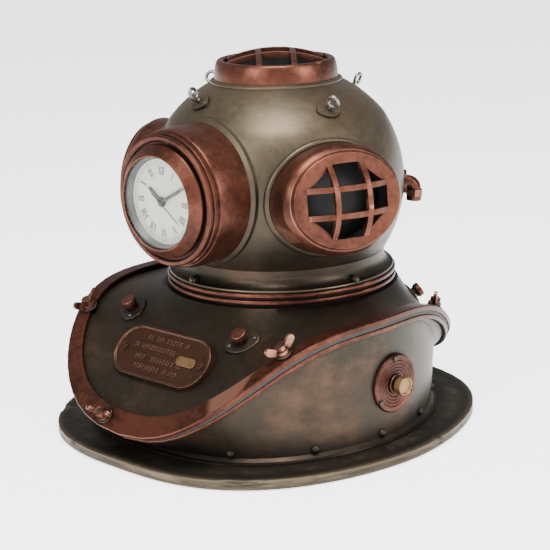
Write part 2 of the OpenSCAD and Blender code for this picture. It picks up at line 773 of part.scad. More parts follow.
module coil_and_stator() {
    color("#b5652f") at_clock() {
        translate([0, 0, -11.78]) linear_extrude(1.28) difference() {
            union() {
                translate(rotor_at) circle(r = 4.4);
                translate([coil_x - 1.2, rotor_at[1] - 1.5]) square([-coil_x + rotor_at[0], 3]);
                translate([coil_x - 1.2, rotor_at[1] - 1.5]) square([2.4, 19]);
            }
            translate(rotor_at) circle(r = 2.7);
        }
        translate([coil_x, -4, -8.8]) rotate([-90, 0, 0]) cylinder(r = 1.5, h = 11.8);
        for (y = [-4.4, 7.4]) translate([coil_x - 2.4, y, -11.2]) cube([4.8, 0.8, 4.2]);
    }
}

module circuit_board() {
    color("#2e6b46") at_clock() {
        translate([-2.5, 11.4, -11.78]) cube([10, 5.6, 0.6]);
        translate([-1.5, 12.6, -11.2]) cube([3, 3, 1]);
        translate([2.6, 14.2, -10.4]) rotate([0, 90, 0]) cylinder(r = 1, h = 4.4, $fn = 32);
    }
}

module battery() {
    color(STEEL) at_clock() translate([each battery_at, -14.4]) {
        cylinder(r = 5.8, h = 4.6);
        translate([0, 0, 4.6]) cylinder(r = 4.7, h = 0.8);
    }
}

module battery_cover() {
    color(DARK) at_clock() translate([each battery_at, 0]) difference() {
        union() {
            translate([0, 0, case_back - 0.5]) cylinder(r = hatch_r - 0.06, h = 1.3);
            translate([0, 0, case_back - 0.9]) cylinder(r = 7.2, h = 0.88);
        }
        translate([-5, -0.6, case_back - 1.5]) cube([10, 1.2, 1]);
    }
}

base_felt();
base_plinth();
corselet();
brail_gasket();
upper_brail();
lower_brail();
brail_studs();
wing_nuts();
breast_plaque();
plaque_screws();
plaque_tab();
stud_flanges();
breast_studs();
stud_screws();
valve_discs();
valve_rivets();
valve_hubs();
valve_knobs();
foot_rivets();
neck_ring_lower();
neck_ring_upper();
bonnet_collar();
neck_studs();
bonnet_dome();
front_port_flange();
front_port_housing();
side_port_seats();
side_port_housings();
side_grilles();
top_port_seat();
top_port_ring();
top_grille();
eye_plates();
screw_eyes();
goosenecks();
gooseneck_nuts();
clock_case();
grip_band();
clock_bezel();
clock_lens();
rehaut_ring();
dial();
hour_hand();
minute_hand();
second_hand();
front_plate();
rear_plate();
pillars();
rotor();
intermediate_wheel();
seconds_wheel();
third_wheel();
centre_wheel();
motion_wheel();
hour_wheel();
setting_knob();
coil_and_stator();
circuit_board();
battery();
battery_cover();
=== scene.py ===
"""Looks for the diver's helmet table clock: aged bronze and copper castings round a small quartz clock."""

import json
import logging
import math
import random
from dataclasses import dataclass, field
from enum import Enum
from typing import Any, Callable, Iterable, Sequence

import bmesh
import bpy
from mathutils import Matrix, Vector, noise


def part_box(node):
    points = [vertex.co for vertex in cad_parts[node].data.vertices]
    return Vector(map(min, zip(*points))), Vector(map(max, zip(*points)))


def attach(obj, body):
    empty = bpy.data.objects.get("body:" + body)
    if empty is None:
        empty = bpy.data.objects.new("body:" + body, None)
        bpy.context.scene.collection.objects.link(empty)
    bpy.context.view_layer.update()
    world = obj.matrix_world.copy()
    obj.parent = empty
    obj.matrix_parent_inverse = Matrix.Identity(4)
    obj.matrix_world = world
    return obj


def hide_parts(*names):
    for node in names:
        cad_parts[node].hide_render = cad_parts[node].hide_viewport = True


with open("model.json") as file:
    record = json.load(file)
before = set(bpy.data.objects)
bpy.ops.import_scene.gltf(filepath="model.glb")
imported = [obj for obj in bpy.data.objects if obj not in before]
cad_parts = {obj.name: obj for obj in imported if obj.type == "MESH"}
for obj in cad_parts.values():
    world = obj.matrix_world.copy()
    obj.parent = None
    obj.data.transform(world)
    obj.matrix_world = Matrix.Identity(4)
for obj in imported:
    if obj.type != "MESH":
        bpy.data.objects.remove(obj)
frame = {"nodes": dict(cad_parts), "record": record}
LOG = logging.getLogger("helmet_clock")
MM = 0.001
Colour = tuple[float, float, float]
Span = tuple[float, float]

# How far behind the base's middle the neck's axis stands
NECK_AXIS_Y = 0.0125

# Blender's pointiness of a flat face, and of a corner that wear reaches in full
FLAT_POINTINESS = 0.515
SHARP_POINTINESS = 0.60


class Slot(Enum):
    """The record's material slots."""

    FELT = "felt"
    DARK_BRONZE = "dark_bronze"
    BRONZE = "bronze"
    COPPER = "copper"
    GASKET = "gasket"
    BRASS = "brass"
    SILVER = "silver"
    CASE_METAL = "case_metal"
    GRIP_RUBBER = "grip_rubber"
    LENS_GLASS = "lens_glass"
    GREY_RING = "grey_ring"
    DIAL_PAINT = "dial_paint"
    HAND_PAINT = "hand_paint"
    WHITE_PLASTIC = "white_plastic"
    BLACK_PLASTIC = "black_plastic"
    COIL_COPPER = "coil_copper"
    BOARD_GREEN = "board_green"


# ---------------------------------------------------------------- shader maths


class Wire:
    """One output socket, with the arithmetic that adds Math nodes."""

    def __init__(self, graph: "Graph", socket: bpy.types.NodeSocket) -> None:
        """Keeps the graph and the socket.

        Args:
            graph: The node tree the socket is in.
            socket: The output socket.
        """
        self.graph = graph
        self.socket = socket

    def _with(self, operation: str, *values: Any) -> "Wire":
        """Returns a Math node's result for these values."""
        inputs = dict(enumerate(values))
        return self.graph.node("ShaderNodeMath", {"operation": operation}, inputs)

    def __add__(self, other: Any) -> "Wire":
        """Returns self + other."""
        return self._with("ADD", self, other)

    def __radd__(self, other: Any) -> "Wire":
        """Returns other + self."""
        return self._with("ADD", other, self)

    def __sub__(self, other: Any) -> "Wire":
        """Returns self - other."""
        return self._with("SUBTRACT", self, other)

    def __rsub__(self, other: Any) -> "Wire":
        """Returns other - self."""
        return self._with("SUBTRACT", other, self)

    def __mul__(self, other: Any) -> "Wire":
        """Returns self * other."""
        return self._with("MULTIPLY", self, other)

    def __rmul__(self, other: Any) -> "Wire":
        """Returns other * self."""
        return self._with("MULTIPLY", other, self)

    def __truediv__(self, other: Any) -> "Wire":
        """Returns self / other."""
        return self._with("DIVIDE", self, other)

    def __pow__(self, other: Any) -> "Wire":
        """Returns self raised to other."""
        return self._with("POWER", self, other)

    def over(self, edge: Any) -> "Wire":
        """Returns 1 where self is over edge, else 0."""
        return self._with("GREATER_THAN", self, edge)

    def under(self, edge: Any) -> "Wire":
        """Returns 1 where self is under edge, else 0."""
        return self._with("LESS_THAN", self, edge)

    def larger(self, other: Any) -> "Wire":
        """Returns the larger of self and other."""
        return self._with("MAXIMUM", self, other)

    def between(self, low: float, high: float) -> "Wire":
        """Returns self mapped so that low is 0 and high is 1, smoothly and clamped."""
        settings = {"interpolation_type": "SMOOTHSTEP"}
        inputs = {"Value": self, "From Min": low, "From Max": high}
        return self.graph.node("ShaderNodeMapRange", settings, inputs)


class Graph:
    """A material's node tree."""

    def __init__(self, name: str) -> None:
        """Starts an empty material.

        Args:
            name: The material's name.
        """
        self.material = bpy.data.materials.new(name)
        self.material.use_nodes = True
        self.tree = self.material.node_tree
        self.tree.nodes.clear()
        self.output = self.tree.nodes.new("ShaderNodeOutputMaterial")

    def _set(self, socket: bpy.types.NodeSocket, value: Any) -> None:
        """Links a wire to a socket, or sets the socket's own value."""
        if isinstance(value, Wire):
            self.tree.links.new(value.socket, socket)
        elif isinstance(value, tuple) and len(value) == 3 and socket.type == "RGBA":
            socket.default_value = (*value, 1.0)
        else:
            socket.default_value = value

    def node(self, kind: str, settings: dict[str, Any], inputs: dict[Any, Any], out: Any = 0) -> Wire:
        """Adds any node.

        Args:
            kind: The node's type.
            settings: Its own properties, set first.
            inputs: Values or wires for its sockets, by name or index.
            out: The name or index of the output to return.

        Returns:
            The chosen output as a wire.
        """
        made = self.tree.nodes.new(kind)
        for key, value in settings.items():
            setattr(made, key, value)
        for key, value in inputs.items():
            self._set(made.inputs[key], value)
        return Wire(self, made.outputs[out])

    def place(self, stretch: Colour = (1.0, 1.0, 1.0), turn: Colour = (0.0, 0.0, 0.0)) -> Wire:
        """Returns the place on the piece, turned and stretched."""
        at = self.node("ShaderNodeTexCoord", {}, {}, "Object")
        inputs = {"Vector": at, "Rotation": turn, "Scale": stretch}
        return self.node("ShaderNodeMapping", {}, inputs)

    def axes(self) -> tuple[Wire, Wire, Wire]:
        """Returns x, y and z of the place on the piece, in metres."""
        at = self.node("ShaderNodeTexCoord", {}, {}, "Object")
        split = self.node("ShaderNodeSeparateXYZ", {}, {"Vector": at})
        outputs = split.socket.node.outputs
        return Wire(self, outputs["X"]), Wire(self, outputs["Y"]), Wire(self, outputs["Z"])

    def noise(self, scale: float, detail: float = 4.0, rough: float = 0.55, at: Wire | None = None) -> Wire:
        """Returns fractal noise from 0 to 1."""
        inputs = {"Vector": at or self.place(), "Scale": scale, "Detail": detail, "Roughness": rough}
        return self.node("ShaderNodeTexNoise", {}, inputs, "Fac")

    def cells(self, scale: float) -> Wire:
        """Returns the distance to the nearest of many scattered points."""
        return self.node("ShaderNodeTexVoronoi", {}, {"Vector": self.place(), "Scale": scale}, "Distance")

    def mix(self, factor: Any, first: Any, second: Any) -> Wire:
        """Returns first where factor is 0 and second where it is 1."""
        made = self.tree.nodes.new("ShaderNodeMix")
        made.data_type = "RGBA"
        made.clamp_factor = True
        colours = {s.name: s for s in made.inputs if s.type == "RGBA"}
        self._set(made.inputs[0], factor)
        self._set(colours["A"], first)
        self._set(colours["B"], second)
        return Wire(self, [s for s in made.outputs if s.type == "RGBA"][0])

    def bump(self, height: Wire, strength: float, depth: float) -> Wire:
        """Returns a normal that shows height as relief."""
        inputs = {"Height": height, "Strength": strength, "Distance": depth}
        return self.node("ShaderNodeBump", {}, inputs, "Normal")

    def edges(self) -> Wire:
        """Returns 1 on worn outside corners, falling to 0 on flats and hollows."""
        point = self.node("ShaderNodeNewGeometry", {}, {}, "Pointiness")
        return point.between(FLAT_POINTINESS, SHARP_POINTINESS)

    def hollows(self, reach: float) -> Wire:
        """Returns 1 deep in creases and 0 in the open, from ambient occlusion; mixed into a colour, it
        paints shade.
        """
        settings = {"samples": 6, "only_local": False}
        open_air = self.node("ShaderNodeAmbientOcclusion", settings, {"Distance": reach}, "AO")
        return 1.0 - open_air

    def finish(self, **sockets: Any) -> bpy.types.Material:
        """Ends in a Principled surface with these sockets, and returns the material."""
        named = {key.replace("_", " "): value for key, value in sockets.items()}
        surface = self.node("ShaderNodeBsdfPrincipled", {}, named, "BSDF")
        self.tree.links.new(surface.socket, self.output.inputs["Surface"])
        return self.material


# ---------------------------------------------------------------- finishes


@dataclass(frozen=True)
class Pocket:
    """An oval well along its own axis, which a finish tints inside."""

    centre: tuple[float, float, float]
    azimuth: float
    pitch: float
    across: float
    high: float
    near: float
    far: float

    def frame(self) -> tuple[Vector, Vector, Vector]:
        """Returns the well's sideways, upward and outward directions."""
        az, up = math.radians(self.azimuth), math.radians(self.pitch)
        out = Vector((math.sin(az) * math.cos(up), -math.cos(az) * math.cos(up), math.sin(up)))
        side = Vector((math.cos(az), math.sin(az), 0.0))
        return side, out.cross(side), out

    def mask(self, graph: Graph) -> Wire:
        """Returns 1 inside the well and 0 outside it.

        Args:
            graph: The tree the nodes are added to.

        Returns:
            The mask.
        """
        x, y, z = graph.axes()
        dx, dy, dz = x - self.centre[0], y - self.centre[1], z - self.centre[2]
        side, up, out = self.frame()

        def along(v: Vector) -> Wire:
            """Returns the distance from the centre along v."""
            return dx * v.x + dy * v.y + dz * v.z

        u, v, w = along(side) / self.across, along(up) / self.high, along(out)
        return (u * u + v * v).under(1.0) * w.over(self.near) * w.under(self.far)


PORT_FACE = 0.0699
SIDE_PORTS = tuple(
    Pocket((0.0, NECK_AXIS_Y, 0.106), azimuth, 6.8, 0.0235, 0.0196, 0.030, PORT_FACE - 0.0019)
    for azimuth in (68.7, -68.7)
)
PLAQUE = Pocket((0.0, -0.0666, 0.0456), 0.0, 41.5, 0.040, 0.0175, -0.006, 0.004)
TOP_PORT = Pocket((0.0, NECK_AXIS_Y, 0.0), 0.0, 90.0, 0.0238, 0.0238, 0.150, 0.1660)


@dataclass(frozen=True)
class AgedMetal:
    """A cast metal skin: dark in its creases with painted shade that also stands for a dark wash, rubbed
    bright on its edges, mottled between.
    """

    name: str
    dark: Colour
    body: Colour
    rubbed: Colour
    metallic: float = 0.85
    rough: float = 0.42
    mottle: float = 38.0
    pitting: float = 0.35
    rub: float = 0.55
    crease_shade_and_wash: float = 0.85
    reach: float = 0.008
    depth: float = 0.4
    warm: Colour | None = None
    cloudy: Span = (0.34, 0.62)
    warm_patches: Span = (0.48, 0.72)
    warm_rubs: Span = (0.46, 0.72)
    creased: Span = (0.10, 0.62)
    worn: Span = (0.10, 0.85)
    well_black: Colour = (0.0025, 0.0025, 0.0025)
    shade: Span = (0.055, 0.125)
    shaded: float = 0.0
    stained: Pocket | None = None
    stain: Colour = (0.055, 0.027, 0.016)
    wells: tuple[Pocket, ...] = ()

    def material(self) -> bpy.types.Material:
        """Returns the finish as a material."""
        g = Graph(self.name)
        cloud = g.noise(self.mottle, 5.0, 0.62)
        fine = g.noise(self.mottle * 11.0, 3.0, 0.6)
        specks = g.cells(330.0).under(0.10) * g.noise(45.0).over(0.5)
        crease = g.hollows(self.reach).between(*self.creased)
        worn = (g.edges() * (0.5 + fine * 0.8)).between(*self.worn) * self.rub
        colour = self._skin(g, cloud, fine)
        colour = g.mix(worn, colour, self.rubbed)
        # Painted shade: ambient occlusion darkens the creases toward the dark colour, also standing for the
        # dark wash in the castings' hollows.
        colour = g.mix(crease * self.crease_shade_and_wash, colour, self.dark)
        colour = g.mix(specks * 0.85, colour, self.dark)
        if self.stained:
            colour = g.mix(self.stained.mask(g) * 0.8, colour, self.stain)
        black = self._wells(g)
        metallic: Any = self.metallic
        rough: Any = self.rough + fine * 0.14 - worn * 0.08 + crease * 0.22
        if black is not None:
            # The ports' wells are made near-black, matte and not metallic.
            colour = g.mix(black, colour, self.well_black)
            metallic = (1.0 - black) * self.metallic
            rough = rough + black * 0.3
        relief = cloud * 0.5 + fine * 0.35 + g.noise(1900.0, 2.0) * 0.15 - specks * 0.8
        normal = g.bump(relief, self.pitting, 0.0004)
        return g.finish(Base_Color=colour, Metallic=metallic, Roughness=rough, Normal=normal)

    def _skin(self, g: Graph, cloud: Wire, fine: Wire) -> Wire:
        """Returns the colour before wear, dark specks and painted crease shade: mottled, warm in patches and
        darker low down with painted shade.

        Args:
            g: The tree the nodes are added to.
            cloud: The coarse mottling.
            fine: The fine mottling.

        Returns:
            The colour.
        """
        deep = tuple(self.depth * d + (1.0 - self.depth) * b for d, b in zip(self.dark, self.body))
        colour = g.mix((cloud * 0.7 + fine * 0.3).between(*self.cloudy), deep, self.body)
        _, _, z = g.axes()
        low = 1.0 - z.between(*self.shade)
        if self.warm:
            patches = g.noise(14.0, 3.0).between(*self.warm_patches)
            colour = g.mix(patches * 0.55, colour, self.warm)
        # Painted shade: the lower part is mixed toward the dark colour, as if less light reached it.
        colour = g.mix(low * self.shaded, colour, self.dark)
        if self.warm:
            streaks = g.noise(26.0, 5.0, 0.7, g.place((1.0, 1.0, 1.6)))
            colour = g.mix(streaks.between(*self.warm_rubs) * low * 0.5, colour, self.warm)
        return colour

    def _wells(self, g: Graph) -> Wire | None:
        """Returns the joint mask of the finish's black wells."""
        black = None
        for well in self.wells:
            mask = well.mask(g)
            black = mask if black is None else black.larger(mask)
        return black


@dataclass(frozen=True)
class PlinthMetal:
    """The plinth's skin: nearly black, with antique brass where the rim is worn, chips, and painted shade in
    its creases.
    """

    name: str = "plinth_dark_bronze"
    dark: Colour = (0.018, 0.015, 0.012)
    body: Colour = (0.026, 0.021, 0.015)
    brass: Colour = (0.24, 0.175, 0.105)
    foot_worn: Span = (0.0012, 0.0024)
    top_worn: Span = (0.0049, 0.00515)

    def material(self) -> bpy.types.Material:
        """Returns the finish as a material."""
        g = Graph(self.name)
        _, _, z = g.axes()
        cloud = g.noise(30.0, 5.0, 0.6)
        fine = g.noise(420.0, 3.0, 0.6)
        streak = g.noise(60.0, 4.0, 0.7, g.place((1.0, 1.0, 9.0)))
        colour = g.mix(cloud.between(0.35, 0.7), self.dark, self.body)
        corner = g.edges()
        sides = z.between(*self.foot_worn) * (1.0 - z.between(*self.top_worn))
        worn = (corner * 1.1).larger(sides * streak.between(0.35, 0.75) * 0.75)
        colour = g.mix(worn * (0.55 + fine * 0.45), colour, self.brass)
        # Painted shade: ambient occlusion darkens the creases toward the dark colour, also standing for the
        # dark wash in them.
        crease = g.hollows(0.006).between(0.15, 0.8)
        colour = g.mix(crease * 0.8, colour, self.dark)
        normal = g.bump(cloud * 0.5 + fine * 0.4, 0.4, 0.0004)
        rough = 0.44 + fine * 0.18 + crease * 0.2 - worn * 0.08
        return g.finish(Base_Color=colour, Metallic=0.8, Roughness=rough, Normal=normal)


@dataclass(frozen=True)
class PlainMetal:
    """A bright or painted metal with brushed grain, light tarnish, and painted shade in its crevices."""

    name: str
    body: Colour
    tarnish_and_shade: Colour
    metallic: float = 0.95
    rough: float = 0.28
    grain: Colour = (1.0, 1.0, 14.0)

    def material(self) -> bpy.types.Material:
        """Returns the finish as a material."""
        g = Graph(self.name)
        lines = g.noise(420.0, 3.0, 0.6, g.place(self.grain))
        cloud = g.noise(110.0, 4.0)
        colour = g.mix(cloud.between(0.45, 0.75) * 0.7, self.body, self.tarnish_and_shade)
        # Painted shade: ambient occlusion mixes the crevices toward the tarnish colour, also standing for
        # tarnish there.
        colour = g.mix(g.hollows(0.0012).between(0.2, 0.9) * 0.7, colour, self.tarnish_and_shade)
        normal = g.bump(lines, 0.12, 0.0001)
        rough = self.rough + lines * 0.12 + cloud * 0.06
        return g.finish(Base_Color=colour, Metallic=self.metallic, Roughness=rough, Normal=normal)


@dataclass(frozen=True)
class DialPaint:
    """Cream dial paint, a little darker to its rim, with faint foxing."""

    name: str = "dial_cream"
    cream: Colour = (0.50, 0.49, 0.43)
    aged: Colour = (0.34, 0.33, 0.27)
    centre: tuple[float, float] = (0.0, 0.114)
    radius: float = 0.019

    def material(self) -> bpy.types.Material:
        """Returns the finish as a material."""
        g = Graph(self.name)
        x, _, z = g.axes()
        dx, dz = x - self.centre[0], z - self.centre[1]
        reach = (dx * dx + dz * dz) ** 0.5 / self.radius
        cloud = g.noise(210.0, 4.0)
        edge = reach.between(0.7, 1.1) * 0.35
        colour = g.mix(edge + cloud.between(0.55, 0.85) * 0.12, self.cream, self.aged)
        normal = g.bump(g.noise(4000.0, 2.0), 0.05, 0.00005)
        return g.finish(Base_Color=colour, Metallic=0.0, Roughness=0.5 + cloud * 0.1, Normal=normal)


@dataclass(frozen=True)
class Plastic:
    """Moulded plastic, rubber, gasket or enamel with a fine skin texture."""

    name: str
    body: Colour
    dust: Colour
    rough: float = 0.45
    skin: float = 1400.0
    relief: float = 0.15

    def material(self) -> bpy.types.Material:
        """Returns the finish as a material."""
        g = Graph(self.name)
        skin = g.noise(self.skin, 3.0)
        cloud = g.noise(90.0, 4.0)
        colour = g.mix(cloud.between(0.5, 0.8) * 0.35, self.body, self.dust)
        normal = g.bump(skin, self.relief, 0.0001)
        return g.finish(Base_Color=colour, Metallic=0.0, Roughness=self.rough + skin * 0.12, Normal=normal)


@dataclass(frozen=True)
class FeltCloth:
    """Pressed felt: matted fibres with a soft nap."""

    name: str = "felt_green"
    body: Colour = (0.020, 0.036, 0.026)
    nap: Colour = (0.055, 0.085, 0.062)

    def material(self) -> bpy.types.Material:
        """Returns the finish as a material."""
        g = Graph(self.name)
        fibres = g.noise(1500.0, 6.0, 0.75, g.place((1.0, 2.4, 1.0), (0.0, 0.0, 0.6)))
        tufts = g.cells(650.0)
        colour = g.mix((fibres * 0.8 + tufts * 0.3).between(0.3, 0.75), self.body, self.nap)
        normal = g.bump(fibres + tufts * 0.5, 0.8, 0.0005)
        return g.finish(Base_Color=colour, Roughness=0.95, Normal=normal, Sheen_Weight=0.3)


@dataclass(frozen=True)
class LensGlass:
    """Clear mineral glass: what is behind it, with a faint reflection that grows to its rim."""

    name: str = "lens_clear"
    most: float = 0.18
    least: float = 0.012

    def material(self) -> bpy.types.Material:
        """Returns the finish as a material."""
        g = Graph(self.name)
        clear = g.node("ShaderNodeBsdfTransparent", {}, {"Color": (0.98, 0.99, 0.985)})
        shine = g.node("ShaderNodeBsdfGlossy", {}, {"Color": (1.0, 1.0, 1.0), "Roughness": 0.06})
        facing = g.node("ShaderNodeLayerWeight", {}, {"Blend": 0.5}, "Facing")
        smear = g.noise(70.0, 4.0)
        factor = (facing ** 4.0 * self.most + self.least) * (0.7 + smear * 0.6)
        both = g.node("ShaderNodeMixShader", {}, {0: factor, 1: clear, 2: shine})
        g.tree.links.new(both.socket, g.output.inputs["Surface"])
        return g.material


def finishes() -> dict[Slot, bpy.types.Material]:
    """Builds one material for each slot.

    Returns:
        The materials by slot.
    """
    wells = (*SIDE_PORTS, TOP_PORT)
    bronze = AgedMetal("aged_bronze",
                       (0.007, 0.0055, 0.004), (0.102, 0.079, 0.049), (0.27, 0.205, 0.13),
                       metallic=0.78, rough=0.34, mottle=30.0, pitting=0.30, rub=0.3, crease_shade_and_wash=0.98,
                       reach=0.015, warm=(0.105, 0.054, 0.032), shade=(0.078, 0.150), shaded=0.74,
                       wells=wells)
    copper = AgedMetal("aged_copper",
                       (0.011, 0.004, 0.003), (0.125, 0.041, 0.024), (0.50, 0.235, 0.155),
                       metallic=0.85, rough=0.31, mottle=34.0, pitting=0.34, rub=0.5, crease_shade_and_wash=0.98,
                       reach=0.011, depth=0.75, shaded=0.1, stained=PLAQUE, wells=wells)
    made = {
        Slot.FELT: FeltCloth(),
        Slot.DARK_BRONZE: PlinthMetal(),
        Slot.BRONZE: bronze,
        Slot.COPPER: copper,
        Slot.GASKET: Plastic("gasket_dark", (0.012, 0.010, 0.008), (0.035, 0.028, 0.022), 0.6),
        Slot.BRASS: PlainMetal("old_brass", (0.24, 0.14, 0.065), (0.08, 0.04, 0.02), 0.9, 0.34),
        Slot.SILVER: PlainMetal("nickel", (0.22, 0.21, 0.19), (0.06, 0.055, 0.05), 1.0, 0.25),
        Slot.CASE_METAL: PlainMetal("case_steel", (0.50, 0.49, 0.47), (0.26, 0.25, 0.24), 1.0, 0.3),
        Slot.GRIP_RUBBER: Plastic("grip_rubber", (0.015, 0.015, 0.015), (0.04, 0.04, 0.04), 0.7),
        Slot.LENS_GLASS: LensGlass(),
        Slot.GREY_RING: PlainMetal("rehaut_grey", (0.10, 0.10, 0.10), (0.05, 0.05, 0.05), 0.5, 0.35),
        Slot.DIAL_PAINT: DialPaint(),
        Slot.HAND_PAINT: Plastic("hand_black", (0.010, 0.010, 0.012), (0.03, 0.03, 0.03), 0.3),
        Slot.WHITE_PLASTIC: Plastic("gear_white", (0.62, 0.62, 0.58), (0.5, 0.5, 0.46), 0.4),
        Slot.BLACK_PLASTIC: Plastic("moulded_black", (0.014, 0.014, 0.015), (0.04, 0.04, 0.04), 0.4),
        Slot.COIL_COPPER: PlainMetal("coil_wire", (0.42, 0.16, 0.07), (0.2, 0.07, 0.03), 0.9, 0.3),
        Slot.BOARD_GREEN: Plastic("board_green", (0.015, 0.12, 0.05), (0.03, 0.2, 0.09), 0.35),
    }
    return {slot: finish.material() for slot, finish in made.items()}


# ---------------------------------------------------------------- mesh helpers


class Workshop:
    """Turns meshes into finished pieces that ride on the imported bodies."""

    weld = 2e-6
    flat = 0.6

    def __init__(self, materials: dict[Slot, bpy.types.Material]) -> None:
        """Reads the record's bodies and slots.

        Args:
            materials: The finish for each slot.
        """
        self.materials = materials
        record = frame["record"]
        self.slots = {s["node"]: Slot(s["material_slot"]) for s in record["subparts"]}
        groups = record["behaviour"]["bodies"]
        self.bodies = {node: body for body, nodes in groups.items() for node in nodes}

    def add(
        self, bm: bmesh.types.BMesh, name: str, slot: Slot, body: str, sharp: float = 40.0
    ) -> bpy.types.Object:
        """Makes a piece of a mesh.

        Args:
            bm: The mesh, in the row frame; it is freed.
            name: The piece's name.
            slot: The slot its finish is from.
            body: The body it rides on.
            sharp: Edges over this angle in degrees stay crisp.

        Returns:
            The new object.
        """
        mesh = bpy.data.meshes.new(name)
        for face in bm.faces:
            face.smooth = True
        bm.to_mesh(mesh)
        bm.free()
        mesh.set_sharp_from_angle(angle=math.radians(sharp))
        mesh.materials.append(self.materials[slot])
        piece = bpy.data.objects.new(name, mesh)
        bpy.context.scene.collection.objects.link(piece)
        weighted = piece.modifiers.new("even_shading", "WEIGHTED_NORMAL")
        weighted.keep_sharp = True
        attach(piece, body)
        LOG.info("%s: %d faces on %s", name, len(mesh.polygons), body)
        return piece

    def soften(self, node: str, edge: float, segments: int = 2, crisp: float = 28.0) -> bpy.types.Object:
        """Stands a copy with rounded edges in for a node.

        Args:
            node: The node.
            edge: The rounding's width in metres.
            segments: The number of steps round an edge.
            crisp: Edges over this angle in degrees are rounded.

        Returns:
            The new object.
        """
        bm = bmesh.new()
        bm.from_mesh(frame["nodes"][node].data)
        bmesh.ops.remove_doubles(bm, verts=bm.verts, dist=self.weld)
        bmesh.ops.dissolve_degenerate(bm, edges=bm.edges, dist=self.weld)
        flat = math.radians(self.flat)
        bmesh.ops.dissolve_limit(bm, angle_limit=flat, verts=bm.verts, edges=bm.edges)
        limit = math.radians(crisp)
        picked = [e for e in bm.edges if e.is_manifold and e.calc_face_angle(0.0) > limit]
        bmesh.ops.bevel(bm, geom=picked, offset=edge, segments=segments, profile=0.5, affect="EDGES",
                        clamp_overlap=True, material=-1)
        piece = self.add(bm, node + "_cast", self.slots[node], self.bodies[node])
        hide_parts(node)
        return piece

    def dress(self, node: str) -> None:
        """Gives a node that is shown as it is the finish of its slot."""
        mesh = frame["nodes"][node].data
        mesh.materials.clear()
        mesh.materials.append(self.materials[self.slots[node]])


def move(bm: bmesh.types.BMesh, change: Matrix, verts: Iterable[bmesh.types.BMVert] | None = None) -> None:
    """Transforms vertices, or the whole mesh.

    Args:
        bm: The mesh.
        change: The transform.
        verts: The vertices, or None for all of them.
    """
    bmesh.ops.transform(bm, matrix=change, verts=list(verts if verts is not None else bm.verts))


def bar(bm: bmesh.types.BMesh, size: Vector, change: Matrix, edge: float = 0.0) -> None:
    """Adds a block of a size, its edges rounded, placed by a transform.

    Args:
        bm: The mesh it is added to.
        size: Its width, height and depth.
        change: Its place.
        edge: The rounding of its edges, or 0.
    """
    made = bmesh.ops.create_cube(bm, size=1.0)["verts"]
    move(bm, change @ Matrix.Diagonal((*size, 1.0)), made)
    if edge:
        edges = list({e for v in made for e in v.link_edges})
        bmesh.ops.bevel(bm, geom=edges, offset=edge, segments=2, profile=0.5, affect="EDGES",
                        clamp_overlap=True, material=-1)


# ---------------------------------------------------------------- the helmet's parts


